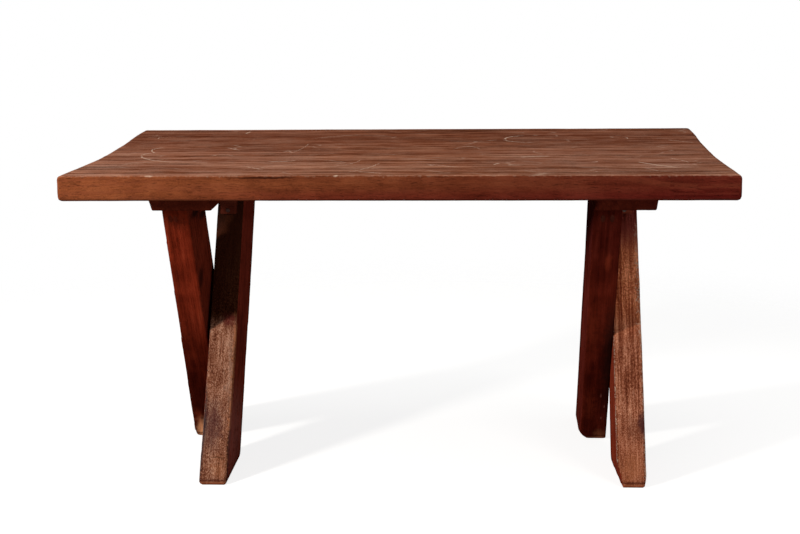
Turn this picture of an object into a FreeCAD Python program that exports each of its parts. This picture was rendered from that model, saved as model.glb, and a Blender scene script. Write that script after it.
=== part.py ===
import FreeCAD, Part
import os
import re
import Sketcher

# Sawbuck table: a plank top with scooped ends on two battens, each carried by a pair of crossed plank legs.
# Frame: X along the top, -Y the front, Z up, origin on the floor under the middle of the top.
# A trestle is drawn about its own upright middle line, with the front-leaning leg on its -X side;
# the other leg is the same leg turned half round.

# Driving sizes in millimetres, with the lean in degrees
sizes = {
    # Top and its boards
    "top_length": 1500,
    "top_width": 900,
    "top_thickness": 57,
    "table_height": 770,
    "board_count": 5,
    "left_scoop": 24,
    "right_scoop": 16,
    "top_corner_radius": 12,
    "top_arris": 5,
    # Loose tongues between the boards
    "spline_thickness": 12,
    "spline_width": 40,
    "spline_margin": 90,
    # Places of the trestles, from the tips of the top in to the middle of each
    "left_overhang": 260,
    "right_overhang": 242,
    # Battens
    "batten_width": 137,
    "batten_thickness": 34,
    "batten_inset": 45,
    "batten_bevel": 30,
    "batten_lip": 8,
    "batten_arris": 4,
    # Crossed legs
    "leg_thickness": 67,
    "flared_foot_thickness": 77,
    "flared_top_thickness": 62,
    "leg_width": 176,
    "leg_lean": 30,
    "cross_height": 322,
    "heel_radius": 35,
    "toe_radius": 7,
    "leg_arris": 6,
    # Corner blocks under the battens
    "block_width": 40,
    "block_height": 78,
    "block_foot": 16,
    # Wood screws, all of one gauge
    "shank_diameter": 5,
    "head_diameter": 10,
    "head_height": 4,
    "tip_length": 8,
    "batten_screw_gauge": 70,
    "batten_screw_margin": 45,
    "batten_screw_sink": 10,
    "batten_screw_bite": 22,
    "leg_screw_gauge": 21,
    "leg_screw_inset": 19,
    "leg_screw_cover": 16,
    "leg_screw_bite": 26,
    "block_screw_rise": 10,
    "block_screw_pitch": 44,
    "block_screw_length": 60,
    # Dowels through the crossings
    "dowel_diameter": 20,
    "dowel_length": 80,
    "dowel_pitch": 120,
    # Fits and cuts
    "fit_clearance": 0.2,
    "overrun": 10,
}
tolerance = 1e-4

# Formulas in size names that several pieces share
top_underside = "(table_height - top_thickness)"
leg_top = "(table_height - top_thickness - batten_thickness)"
board_width = "(top_width / board_count)"
leg_section = "(leg_width / cos(leg_lean))"
foot_middle = "(cross_height * tan(leg_lean))"
top_middle = f"(-({leg_top} - cross_height) * tan(leg_lean))"
outer_top = f"({top_middle} - {leg_section} / 2)"
inner_top = f"({top_middle} + {leg_section} / 2)"
block_face = f"({inner_top} + block_foot + block_height * tan(leg_lean))"
batten_half = "(top_width / 2 - batten_inset)"
batten_foot_half = f"({batten_half} - batten_bevel)"
batten_screw_reach = f"({batten_foot_half} - batten_screw_margin)"
leg_screw_seat = f"({leg_top} - leg_screw_cover)"
leg_pocket = "((leg_screw_inset + head_diameter / 2) / tan(leg_lean) - leg_screw_cover + overrun)"
trestle_places = {
    "left": "left_overhang - top_length / 2",
    "right": "top_length / 2 - right_overhang",
}

doc = FreeCAD.newDocument("sawbuck_table")
sheet = doc.addObject("Spreadsheet::Sheet", "Sizes")
for row, (alias, number) in enumerate(sizes.items(), start=1):
    sheet.set(f"A{row}", alias)
    sheet.set(f"B{row}", str(number))
    sheet.setAlias(f"B{row}", alias)
doc.recompute()

pieces = []


# A formula in size names, written for the sheet
def cells(formula):
    return re.sub(r"[a-z_]+", lambda word: f"Sizes.{word[0]}" if word[0] in sizes else word[0], formula)


def value(formula):
    return float(sheet.evalExpression(cells(formula)))


def bind(thing, formulas):
    for prop, formula in formulas.items():
        thing.setExpression(prop, cells(formula))


def datum(body, role):
    return next(feature for feature in body.Origin.OriginFeatures if feature.Role == role)


# A sketch on a plane of its body, shifted by formulas along the sketch's own axes
def new_sketch(body, name, role, shift=("0", "0", "0"), tilt=0):
    sketch = body.newObject("Sketcher::SketchObject", name)
    sketch.AttachmentSupport = [(datum(body, role), "")]
    sketch.MapMode = "FlatFace"
    turn = FreeCAD.Rotation(FreeCAD.Vector(1, 0, 0), tilt)
    sketch.AttachmentOffset = FreeCAD.Placement(FreeCAD.Vector(), turn)
    bind(sketch, {f"AttachmentOffset.Base.{axis}": formula for axis, formula in zip("xyz", shift)})
    return sketch


def hold(sketch, kind, formula, *where):
    number = sketch.addConstraint(Sketcher.Constraint(kind, *where, value(formula)))
    sketch.setExpression(f"Constraints[{number}]", cells(formula))


# One end of an edge, held at a pair of formulas
def hold_point(sketch, edge, end, point):
    for kind, axis, formula in zip(("DistanceX", "DistanceY"), (-2, -1), point):
        if formula == "0":
            sketch.addConstraint(Sketcher.Constraint("PointOnObject", edge, end, axis))
        else:
            hold(sketch, kind, formula, -1, 1, edge, end)


def join(sketch, edge, end, other, other_end):
    sketch.addConstraint(Sketcher.Constraint("Coincident", edge, end, other, other_end))


# A closed outline of straight edges through points given as formulas
def draw_outline(sketch, points):
    corners = [FreeCAD.Vector(value(across), value(up), 0) for across, up in points]
    for start, end in zip(corners, corners[1:] + corners[:1]):
        sketch.addGeometry(Part.LineSegment(start, end))
    for edge, point in enumerate(points):
        join(sketch, edge, 2, (edge + 1) % len(points), 1)
        hold_point(sketch, edge, 1, point)


def new_body(name):
    return doc.addObject("PartDesign::Body", name)


def pad(body, sketch, length, midplane=False, backwards=False):
    feature = body.newObject("PartDesign::Pad", f"{sketch.Name}_pad")
    feature.Profile = sketch
    feature.Midplane = midplane
    feature.Reversed = backwards
    bind(feature, {"Length": length})
    doc.recompute()
    return feature


# Rounds the edges of a body that pass a test
def soften(body, name, radius, test):
    base = body.Tip
    names = [f"Edge{number}" for number, edge in enumerate(base.Shape.Edges, start=1) if test(edge)]
    feature = body.newObject("PartDesign::Fillet", name)
    feature.Base = (base, names)
    bind(feature, {"Radius": radius})
    doc.recompute()


# Slopes the faces of a body that pass a test, from where they stand on the floor
def slope(body, base, name, angle, test):
    feature = body.newObject("PartDesign::Draft", name)
    names = [f"Face{number}" for number, face in enumerate(base.Shape.Faces, start=1) if test(face)]
    feature.Base = (base, names)
    feature.NeutralPlane = (datum(body, "XY_Plane"), [""])
    doc.recompute()
    bind(feature, {"Angle": angle})
    doc.recompute()


# True where an edge has no extent along an axis: 0 for X, 1 for Y, 2 for Z
def is_flat(edge, axis):
    box = edge.BoundBox
    return (box.XLength, box.YLength, box.ZLength)[axis] < tolerance


def is_across(edge):
    return is_flat(edge, 1) and is_flat(edge, 2)


def is_upright(edge):
    return is_flat(edge, 0) and is_flat(edge, 1)


def is_at_height(edge, formula):
    return is_flat(edge, 2) and abs(edge.CenterOfMass.z - value(formula)) < tolerance


# Copies of a feature in rows and, with turned, again for the other leg of the trestle
def repeat(body, feature, rows, turned):
    spread = body.newObject("PartDesign::MultiTransform", f"{feature.Name}_set")
    spread.Originals = [feature]
    steps = []
    for role, length, count in rows:
        row = body.newObject("PartDesign::LinearPattern", f"{feature.Name}_row")
        row.Direction = (datum(body, role), [""])
        bind(row, {"Length": length, "Occurrences": count})
        steps.append(row)
    if turned:
        pair = body.newObject("PartDesign::PolarPattern", f"{feature.Name}_pair")
        pair.Axis = (datum(body, "Z_Axis"), [""])
        pair.Angle = 360
        pair.Occurrences = 2
        steps.append(pair)
    spread.Transformations = steps
    body.Tip = spread
    doc.recompute()


def new_group(name, things):
    group = doc.addObject("Part::Compound", name)
    group.Links = things
    return group


def new_boolean(kind, name, base, tool):
    result = doc.addObject(f"Part::{kind}", name)
    result.Base = base
    result.Tool = tool
    return result


# A box by its three lengths and its lowest corner
def new_box(name, lengths, corner):
    box = doc.addObject("Part::Box", name)
    bind(box, dict(zip(("Length", "Width", "Height"), lengths)))
    bind(box, {f"Placement.Base.{axis}": formula for axis, formula in zip("xyz", corner)})
    return box


# Stands a thing at its place along the table, turned half round where it serves the other leg
def stand(thing, along, turned=False):
    turn = FreeCAD.Rotation(FreeCAD.Vector(0, 0, 1), 180 if turned else 0)
    thing.Placement = FreeCAD.Placement(FreeCAD.Vector(), turn)
    bind(thing, {"Placement.Base.x": along})
    return thing


def keep(thing, label):
    thing.Label = label
    pieces.append(thing)


# The shift of a sketch on the upright XZ plane that brings its middle to a point
def upright_at(across, depth, height):
    return (across, height, f"-({depth})")


# The glued-up panel of the top, with straight long edges and scooped ends
def make_panel():
    body = new_body("top_panel")
    sketch = new_sketch(body, "top_outline", "XY_Plane", ("0", "0", top_underside))
    left_tip, right_tip = "-top_length / 2", "top_length / 2"
    front, back = "-top_width / 2", "top_width / 2"
    for depth in (front, back):
        ends = [FreeCAD.Vector(value(tip), value(depth), 0) for tip in (left_tip, right_tip)]
        edge = sketch.addGeometry(Part.LineSegment(*ends))
        hold_point(sketch, edge, 1, (left_tip, depth))
        hold_point(sketch, edge, 2, (right_tip, depth))
    for line_end, tip, scoop, deep in (
        (1, left_tip, "left_scoop", f"{left_tip} + left_scoop"),
        (2, right_tip, "right_scoop", f"{right_tip} - right_scoop"),
    ):
        corners = [FreeCAD.Vector(value(tip), value(depth), 0) for depth in (front, back)]
        arc = sketch.addGeometry(Part.Arc(corners[0], FreeCAD.Vector(value(deep), 0, 0), corners[1]))
        front_end = 1 if sketch.getPoint(arc, 1).y < 0 else 2
        join(sketch, arc, front_end, 0, line_end)
        join(sketch, arc, 3 - front_end, 1, line_end)
        hold(sketch, "Radius", f"((top_width / 2) ^ 2 + {scoop} ^ 2) / (2 * {scoop})", arc)
    pad(body, sketch, "top_thickness")
    soften(body, "top_corners", "top_corner_radius", is_upright)
    soften(body, "top_arrises", "top_arris", lambda edge: is_flat(edge, 2))
    return body


# A plank leg that leans to the front, with its inner face on the middle of the trestle;
# a flared one is thicker at the foot than at the top, on its outer face
def make_leg_blank(name, thickness, flare=None):
    body = new_body(name)
    sketch = new_sketch(body, f"{name}_outline", "YZ_Plane")
    outline = [
        (f"{foot_middle} - {leg_section} / 2", "0"),
        (f"{foot_middle} + {leg_section} / 2", "0"),
        (inner_top, leg_top),
        (outer_top, leg_top),
    ]
    draw_outline(sketch, outline)
    plank = pad(body, sketch, thickness, backwards=True)

    def is_outer(face):
        return face.CenterOfMass.x < tolerance - value(thickness)

    def is_foot_corner(edge):
        return is_at_height(edge, "0") and is_across(edge)

    def is_toe(edge):
        return is_foot_corner(edge) and edge.CenterOfMass.y > value(foot_middle)

    def is_heel(edge):
        return is_foot_corner(edge) and edge.CenterOfMass.y < value(foot_middle)

    def is_arris(edge):
        return not is_across(edge) and not is_at_height(edge, leg_top)

    if flare:
        slope(body, plank, f"{name}_flare", flare, is_outer)
    soften(body, f"{name}_toe", "toe_radius", is_toe)
    soften(body, f"{name}_heel", "heel_radius", is_heel)
    soften(body, f"{name}_arrises", "leg_arris", is_arris)
    return body


# A batten with its two ends bevelled underneath
def make_batten_blank():
    body = new_body("batten_blank")
    sketch = new_sketch(body, "batten_outline", "YZ_Plane")
    outline = [
        (f"-{batten_half}", top_underside),
        (f"-{batten_half}", f"{top_underside} - batten_lip"),
        (f"-{batten_foot_half}", leg_top),
        (batten_foot_half, leg_top),
        (batten_half, f"{top_underside} - batten_lip"),
        (batten_half, top_underside),
    ]
    draw_outline(sketch, outline)
    pad(body, sketch, "batten_width", midplane=True)
    soften(
        body, "batten_arrises", "batten_arris",
        lambda edge: is_flat(edge, 0) and not is_at_height(edge, top_underside),
    )
    return body


# A corner block that fills the angle between a leg's inner edge and the batten
def make_block_blank():
    body = new_body("block_blank")
    sketch = new_sketch(body, "block_outline", "YZ_Plane", ("0", "0", "-leg_thickness / 2"))
    block_underside = f"{leg_top} - block_height"
    outline = [
        (inner_top, leg_top),
        (block_face, leg_top),
        (block_face, block_underside),
        (f"{block_face} - block_foot", block_underside),
    ]
    draw_outline(sketch, outline)
    pad(body, sketch, "block_width", midplane=True)
    return body


# A set of wood screws or, with room around them, of the bores that take them
def make_screws(name, shift, length, head, rows, room="0", turned=False, tilt=0):
    body = new_body(name)
    sketch = new_sketch(body, f"{name}_profile", "XZ_Plane", shift, tilt)
    head_edge = f"head_diameter / 2 + {room}"
    shank_edge = f"shank_diameter / 2 + {room}"
    profile = [
        ("0", f"-{head}"),
        (head_edge, f"-{head}"),
        (head_edge, "0"),
        (shank_edge, "0"),
        (shank_edge, f"{length} - tip_length + {room}"),
        ("0", f"{length} + {room}"),
    ]
    draw_outline(sketch, profile)
    screw = body.newObject("PartDesign::Revolution", f"{name}_turning")
    screw.Profile = sketch
    screw.ReferenceAxis = (sketch, ["V_Axis"])
    screw.Angle = 360
    doc.recompute()
    repeat(body, screw, rows, turned)
    return body


# A set of straight round bars, for plugs, dowels and dowel holes
def make_bars(name, role, shift, diameter, length, rows, midplane=False, backwards=False, turned=False):
    body = new_body(name)
    sketch = new_sketch(body, f"{name}_section", role, shift)
    circle = sketch.addGeometry(Part.Circle(FreeCAD.Vector(), FreeCAD.Vector(0, 0, 1), value(diameter) / 2))
    join(sketch, circle, 3, -1, 1)
    hold(sketch, "Diameter", diameter, circle)
    bar = pad(body, sketch, length, midplane, backwards)
    repeat(body, bar, rows, turned)
    return body


# Screws through the battens into each board, sunk below the batten's underside
batten_screw_seat = f"({leg_top} + batten_screw_sink)"
batten_screw = {
    "shift": upright_at("-batten_screw_gauge / 2", f"-{batten_screw_reach}", batten_screw_seat),
    "length": f"({top_underside} - {batten_screw_seat} + batten_screw_bite)",
    "rows": [
        ("X_Axis", "batten_screw_gauge", "2"),
        ("Y_Axis", f"2 * {batten_screw_reach}", "board_count"),
    ],
}
batten_screws = make_screws("batten_screw_set", head="head_height", **batten_screw)
batten_bores = make_screws("batten_bore_set", head="batten_screw_sink", room="fit_clearance", **batten_screw)

# Screws from pockets in the legs' outer edges up into the battens, with plugs below their heads
leg_screw_across = "-(leg_thickness + leg_screw_gauge) / 2"
leg_screw_depth = f"{outer_top} + leg_screw_inset"
leg_screw_rows = [("X_Axis", "leg_screw_gauge", "2")]
leg_screw = {
    "shift": upright_at(leg_screw_across, leg_screw_depth, leg_screw_seat),
    "length": "(leg_screw_cover + leg_screw_bite)",
    "rows": leg_screw_rows,
    "turned": True,
}
leg_screws = make_screws("leg_screw_set", head="head_height", **leg_screw)
leg_bores = make_screws("leg_bore_set", head=leg_pocket, room="fit_clearance", **leg_screw)
plug_bars = make_bars(
    "plug_bar_set", "XY_Plane", (leg_screw_across, leg_screw_depth, f"{leg_screw_seat} - head_height"),
    "head_diameter", f"{leg_pocket} - head_height", leg_screw_rows, backwards=True, turned=True,
)

# Round-headed screws through the corner blocks into the legs
block_screw = {
    "shift": upright_at("-leg_thickness / 2", block_face, f"{leg_top} - block_height + block_screw_rise"),
    "length": "block_screw_length",
    "head": "head_height",
    "rows": [("Z_Axis", "block_screw_pitch", "2")],
    "turned": True,
    "tilt": 90,
}
block_screws = make_screws("block_screw_set", **block_screw)
block_bores = make_screws("block_bore_set", room="fit_clearance", **block_screw)

# Dowels between the two legs where they cross
dowel_shift = ("0", "cross_height - dowel_pitch / 2", "0")
dowel_rows = [("Z_Axis", "dowel_pitch", "2")]
dowels = make_bars(
    "dowel_set", "YZ_Plane", dowel_shift, "dowel_diameter", "dowel_length", dowel_rows, midplane=True,
)
dowel_holes = make_bars(
    "dowel_hole_set", "YZ_Plane", dowel_shift, "dowel_diameter + 2 * fit_clearance",
    "dowel_length + 2 * fit_clearance", dowel_rows, midplane=True,
)

# Blanks of one trestle and what is bored out of each
panel = make_panel()
leg_blank = make_leg_blank("leg_blank", "leg_thickness")
flared_leg_blank = make_leg_blank(
    "flared_leg_blank", "flared_foot_thickness",
    f"atan((flared_foot_thickness - flared_top_thickness) / {leg_top})",
)
batten_blank = make_batten_blank()
block_blank = make_block_blank()
other_leg_blank = stand(new_group("other_leg_blank", [leg_blank]), "0", turned=True)
both_leg_blanks = new_boolean("Fuse", "both_leg_blanks", leg_blank, other_leg_blank)
leg_cuts = new_group("leg_cuts", [leg_bores, block_bores, dowel_holes])
batten_cuts = new_group("batten_cuts", [batten_bores, leg_bores])
block_cuts = new_group("block_cuts", [block_bores])
plugs = new_boolean("Common", "plug_set", plug_bars, both_leg_blanks)

# The two trestles with their battens and fasteners
for side, along in trestle_places.items():
    batten = new_boolean("Cut", f"{side}_batten_cut", batten_blank, batten_cuts)
    keep(stand(batten, along), f"batten_{side}")
    for lean, turned in (("front", False), ("back", True)):
        blank = flared_leg_blank if (side, lean) == ("left", "front") else leg_blank
        leg = new_boolean("Cut", f"{side}_{lean}_leg_cut", blank, leg_cuts)
        keep(stand(leg, along, turned), f"leg_{side}_{lean}")
        block = new_boolean("Cut", f"{side}_{lean}_block_cut", block_blank, block_cuts)
        keep(stand(block, along, turned), f"corner_block_{side}_{lean}")
    for name, fasteners in (
        ("batten_screws", batten_screws),
        ("leg_screws", leg_screws),
        ("leg_plugs", plugs),
        ("block_screws", block_screws),
        ("cross_dowels", dowels),
    ):
        keep(stand(new_group(f"{side}_{name}", [fasteners]), along), f"{name}_{side}")

# Loose tongues in stopped grooves on the joints of the top
grooves = []
for joint in range(1, sizes["board_count"]):
    joint_depth = f"-top_width / 2 + {joint} * {board_width}"
    lengths = ("top_length - 2 * spline_margin", "spline_width", "spline_thickness")
    corner = (
        "spline_margin - top_length / 2",
        f"{joint_depth} - spline_width / 2",
        "table_height - (top_thickness + spline_thickness) / 2",
    )
    keep(new_box(f"spline_{joint}", lengths, corner), f"top_spline_{joint}")
    roomy_lengths = [f"{length} + 2 * fit_clearance" for length in lengths]
    roomy_corner = [f"{place} - fit_clearance" for place in corner]
    grooves.append(new_box(f"groove_{joint}", roomy_lengths, roomy_corner))

# The boards of the top, divided from the shaped panel along its joints
pilot_holes = [
    stand(new_group(f"{side}_pilot_holes", [batten_bores]), along)
    for side, along in trestle_places.items()
]
bored_panel = new_boolean("Cut", "bored_panel", panel, new_group("panel_cuts", grooves + pilot_holes))
for number in range(sizes["board_count"]):
    board_front = f"-top_width / 2 + {number} * {board_width}"
    strip = new_box(
        f"board_strip_{number}",
        ("top_length + 2 * overrun", board_width, "top_thickness + 2 * overrun"),
        ("-top_length / 2 - overrun", board_front, f"{top_underside} - overrun"),
    )
    keep(new_boolean("Common", f"board_{number}", bored_panel, strip), f"top_board_{number + 1}")

doc.recompute()
failed = [thing.Name for thing in doc.Objects if {"Invalid", "Error"} & set(thing.State)]
faulty = [piece.Label for piece in pieces if piece.Shape.isNull() or not piece.Shape.isValid()]
if failed or faulty:
    raise RuntimeError(f"not built: {failed} {faulty}")

os.makedirs("parts", exist_ok=True)
for piece in pieces:
    piece.Shape.exportStep(f"parts/{piece.Label}.step")
    print(piece.Label, len(piece.Shape.Solids), round(piece.Shape.Volume))
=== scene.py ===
import math
import bpy
from mathutils import Matrix, Vector


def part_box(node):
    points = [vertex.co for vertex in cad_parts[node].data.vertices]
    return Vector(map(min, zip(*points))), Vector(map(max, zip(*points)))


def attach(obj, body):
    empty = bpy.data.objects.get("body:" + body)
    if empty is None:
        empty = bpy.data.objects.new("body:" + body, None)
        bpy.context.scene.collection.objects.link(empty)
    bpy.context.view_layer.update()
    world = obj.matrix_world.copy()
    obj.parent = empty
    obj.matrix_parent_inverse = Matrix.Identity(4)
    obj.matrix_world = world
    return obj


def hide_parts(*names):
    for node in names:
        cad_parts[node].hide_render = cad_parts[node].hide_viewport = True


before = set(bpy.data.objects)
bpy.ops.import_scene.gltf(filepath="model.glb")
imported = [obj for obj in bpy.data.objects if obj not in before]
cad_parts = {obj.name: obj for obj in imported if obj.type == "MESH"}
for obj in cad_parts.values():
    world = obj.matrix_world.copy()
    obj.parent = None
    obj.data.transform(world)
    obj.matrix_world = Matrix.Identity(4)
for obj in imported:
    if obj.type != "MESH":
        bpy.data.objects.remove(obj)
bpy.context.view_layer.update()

# the table stands in metres, X along the top, -Y the front, Z up
sides = ("left", "right")
leans = {"front": 1, "back": -1}  # 1 where the top of a leg is at the front
xAxis, yAxis, zAxis = Vector((1, 0, 0)), Vector((0, 1, 0)), Vector((0, 0, 1))
hair = 0.0005  # what counts as the same place when edges are picked
softAngle = math.radians(40)  # faces that meet more flatly than this are shaded as one


# selecting and shaping, as by hand
def calm():
    if bpy.context.object and bpy.context.object.mode != "OBJECT":
        bpy.ops.object.mode_set(mode="OBJECT")
    bpy.ops.object.select_all(action="DESELECT")


def focus(piece):
    calm()
    piece.select_set(True)
    bpy.context.view_layer.objects.active = piece


def nameIt(piece, name):
    piece.name = name
    piece.data.name = name
    return piece


def addBlock(name, low, high):
    calm()
    low, high = Vector(low), Vector(high)
    bpy.ops.mesh.primitive_cube_add(size=1, location=(low + high) / 2)
    piece = bpy.context.object
    piece.scale = high - low
    bpy.ops.object.transform_apply()
    return nameIt(piece, name)


def addRod(name, place, radius, depth, corners):
    calm()
    bpy.ops.mesh.primitive_cylinder_add(vertices=corners, radius=radius, depth=depth, location=place)
    bpy.ops.object.transform_apply()
    return nameIt(bpy.context.object, name)


def bothAt(place, *ends):  # the two ends of an edge lie here on an axis
    return sum(abs(end - place) for end in ends) < hair


def editPiece(piece, action):  # edit mode, with all or nothing selected
    focus(piece)
    bpy.ops.object.mode_set(mode="EDIT")
    bpy.ops.mesh.select_mode(type="EDGE")
    bpy.ops.mesh.select_all(action=action)


def pickEdges(piece, test):
    editPiece(piece, "DESELECT")
    bpy.ops.object.mode_set(mode="OBJECT")
    spots = piece.data.vertices
    for edge in piece.data.edges:
        edge.select = test(*(spots[i].co for i in edge.vertices))
    bpy.ops.object.mode_set(mode="EDIT")


def slideEdges(piece, test, shift):
    pickEdges(piece, test)
    bpy.ops.transform.translate(value=shift)
    calm()


def roundEdges(piece, test, radius, steps, corner=math.pi / 2):
    pickEdges(piece, test)
    reach = radius / math.tan(corner / 2)
    bpy.ops.mesh.bevel(offset=reach, segments=steps, profile=0.5, affect="EDGES")
    calm()


def weightEdges(piece, test, weight):  # how much of the full rounding these edges take
    pickEdges(piece, test)
    bpy.ops.transform.edge_bevelweight(value=weight)
    calm()


def saw(piece, place, normal):  # takes away what lies beyond the plane and closes the cut
    editPiece(piece, "SELECT")
    across = Vector(normal).normalized()
    bpy.ops.mesh.bisect(plane_co=place, plane_no=across, use_fill=True, clear_outer=True)
    calm()


def ruleCuts(piece, normal, spacing):  # even cuts, so that the piece can take a worn surface
    reach = [spot.co.dot(normal) for spot in piece.data.vertices]
    low, high = min(reach), max(reach)
    count = round((high - low) / spacing)
    editPiece(piece, "SELECT")
    for step in range(1, count):
        bpy.ops.mesh.select_all(action="SELECT")
        bpy.ops.mesh.bisect(plane_co=normal * (low + (high - low) * step / count), plane_no=normal)
    calm()


def modify(piece, kind, **settings):  # a modifier, applied at once
    modifier = piece.modifiers.new("shaping", kind)
    for name, value in settings.items():
        setattr(modifier, name, value)
    focus(piece)
    bpy.ops.object.modifier_apply(modifier=modifier.name)


def refine(piece, levels):
    modify(piece, "SUBSURF", subdivision_type="SIMPLE", levels=levels, render_levels=levels)


def weigh(piece, name, weight):  # a vertex group whose weight follows the place of each point
    group = piece.vertex_groups.new(name=name)
    for spot in piece.data.vertices:
        group.add([spot.index], min(max(weight(spot.co), 0), 1), "REPLACE")


def carve(piece, cutter):
    modify(piece, "BOOLEAN", operation="DIFFERENCE", solver="EXACT", object=cutter)
    bpy.data.objects.remove(cutter)


def copyPiece(piece, name, shift=(0, 0, 0), turn=(0, 0, 0)):
    focus(piece)
    bpy.ops.object.duplicate()
    twin = nameIt(bpy.context.object, name)
    twin.location = shift
    twin.rotation_euler = turn
    bpy.ops.object.transform_apply()
    return twin


def joinPieces(pieces, name):
    focus(pieces[0])
    for piece in pieces:
        piece.select_set(True)
    bpy.ops.object.join()
    return nameIt(bpy.context.object, name)


# uneven surfaces, pushed in and out along a stretched cloud
def weather(piece, depth, grain, turn=(0, 0, 0), seed=0.0, middle=0.5, group=""):
    cloud = bpy.data.textures.new("cloud", "CLOUDS")
    cloud.noise_scale = 1
    cloud.noise_depth = 2
    calm()
    bpy.ops.object.empty_add(location=(seed, seed, seed), rotation=turn)
    guide = bpy.context.object
    guide.scale = grain
    bpy.context.view_layer.update()
    modify(piece, "DISPLACE", texture=cloud, texture_coords="OBJECT", texture_coords_object=guide,
           strength=depth, mid_level=middle, vertex_group=group)
    bpy.data.objects.remove(guide)
    bpy.data.textures.remove(cloud)


def roughen(piece, form, axes, seed):
    for axis in axes:
        ruleCuts(piece, axis, form["cutSpacing"])
    refine(piece, form["fineness"])
    weather(piece, *form["roughness"], seed=seed)


def settle(piece, slot, material, *nodes):
    piece.data.materials.clear()
    piece.data.materials.append(material)
    piece.vertex_groups.clear()
    focus(piece)
    bpy.ops.object.shade_smooth_by_angle(angle=softAngle)
    calm()
    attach(piece, "root")
    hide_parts(*nodes)


# wiring of shader nodes, in the tree of the sockets that feed them
def treeOf(*values):
    return next(value.id_data for value in values if isinstance(value, bpy.types.NodeSocket))


def feed(socket, value):
    if isinstance(value, bpy.types.NodeSocket):
        socket.id_data.links.new(value, socket)
    elif socket.type == "RGBA":
        socket.default_value = (*value, 1)
    else:
        socket.default_value = value


def fill(node, values):  # inputs by their names
    for name, value in values.items():
        feed(node.inputs[name], value)
    return node


def addNode(tree, kind, **settings):
    node = tree.nodes.new(kind)
    for name, value in settings.items():
        setattr(node, name, value)
    return node


def wire(kind, *values, **settings):  # the values go into the inputs in their order
    node = addNode(treeOf(*values), kind, **settings)
    for socket, value in zip(node.inputs, values):
        feed(socket, value)
    return node


def calc(operation, *values):
    return wire("ShaderNodeMath", *values, operation=operation).outputs[0]


def times(first, *others):  # masks and strengths, multiplied
    for other in others:
        first = calc("MULTIPLY", first, other)
    return first


def vectorCalc(operation, *values):
    node = wire("ShaderNodeVectorMath", *values, operation=operation)
    return node.outputs["Value" if operation in ("LENGTH", "DOT_PRODUCT") else "Vector"]


def fade(value, start, end):  # 0 at start, 1 at end, soft between
    limits = (start, end, 0.0, 1.0) if start < end else (end, start, 1.0, 0.0)
    return wire("ShaderNodeMapRange", value, *limits, interpolation_type="SMOOTHSTEP").outputs["Result"]


def overlap(values, limits):  # where all these fades meet
    return times(*(fade(value, *ends) for value, ends in zip(values, limits)))


def tint(amount, low, high, kind="MIX"):
    node = addNode(treeOf(amount, low, high), "ShaderNodeMix", data_type="RGBA", blend_type=kind)
    for place, value in ((0, amount), (6, low), (7, high)):  # the colour sockets of a Mix node
        feed(node.inputs[place], value)
    return node.outputs[2]


def toned(colour, tone, amount=1.0):
    return tint(amount, colour, tone, "MULTIPLY")


def ramp(value, *stops):  # colours at even steps from 0 to 1
    node = wire("ShaderNodeValToRGB", value)
    steps = node.color_ramp.elements
    for number, colour in enumerate(stops):
        spot = number / (len(stops) - 1)
        step = steps[number] if number < 2 else steps.new(spot)
        step.position, step.color = spot, (*colour, 1)
    return node.outputs["Color"]


def cloudOf(vector, scale, detail=4.0, roughness=0.55, swirl=0.0):
    looks = {"Scale": scale, "Detail": detail, "Roughness": roughness, "Distortion": swirl}
    return fill(wire("ShaderNodeTexNoise", vector), looks).outputs[0]


def splitUp(vector):
    return wire("ShaderNodeSeparateXYZ", vector).outputs


def joinUp(*values):
    return wire("ShaderNodeCombineXYZ", *values).outputs[0]


def newGroup(name, vectors, values, masks):  # what a group takes, and the masks that it gives
    group = bpy.data.node_groups.new(name, "ShaderNodeTree")
    for labels, way, kind in (
        (vectors, "INPUT", "NodeSocketVector"),
        (values, "INPUT", "NodeSocketFloat"),
        (masks, "OUTPUT", "NodeSocketFloat"),
    ):
        for label in labels:
            group.interface.new_socket(name=label, in_out=way, socket_type=kind)
    return group, addNode(group, "NodeGroupInput").outputs, addNode(group, "NodeGroupOutput").inputs


def useGroup(group, **values):
    return fill(addNode(treeOf(*values.values()), "ShaderNodeGroup", node_tree=group), values).outputs


# wood grain that runs along X of the place it is given
grainLook = {
    "marks": {  # stretch, detail, swirl, and where the mark starts and is full
        "figure": ((0.9, 7.0, 7.0), 3.0, 0.6, 0.35, 0.65),
        "band": ((1.5, 32.0, 32.0), 3.0, 0.4, 0.32, 0.68),
        "fleck": ((13.0, 85.0, 85.0), 4.0, 0.3, 0.32, 0.68),
        "streak": ((5.0, 210.0, 210.0), 4.0, 0.0, 0.3, 0.7),
        "pore": ((45.0, 900.0, 900.0), 2.0, 0.0, 0.58, 0.72),
    },
    "roughness": 0.6,
    "ringStretch": (0.8, 9.0, 9.0),
    "ringCloud": (1.0, 2.0, 0.4),  # scale, detail, roughness
    "rings": 75.0,  # how closely the year rings lie
    "ringFade": (0.1, 0.95),
    "relief": 0.0006,  # how far the grain stands up
}


def makeGrain():
    group, takes, gives = newGroup("woodGrain", ["place"], [], [*grainLook["marks"], "ring"])
    for name, (stretch, detail, swirl, start, end) in grainLook["marks"].items():
        place = vectorCalc("MULTIPLY", takes["place"], stretch)
        cloud = cloudOf(place, 1.0, detail, grainLook["roughness"], swirl)
        feed(gives[name], fade(cloud, start, end))
    place = vectorCalc("MULTIPLY", takes["place"], grainLook["ringStretch"])
    rise = times(cloudOf(place, *grainLook["ringCloud"]), grainLook["rings"])
    feed(gives["ring"], fade(calc("SINE", rise), *grainLook["ringFade"]))
    return group


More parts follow.
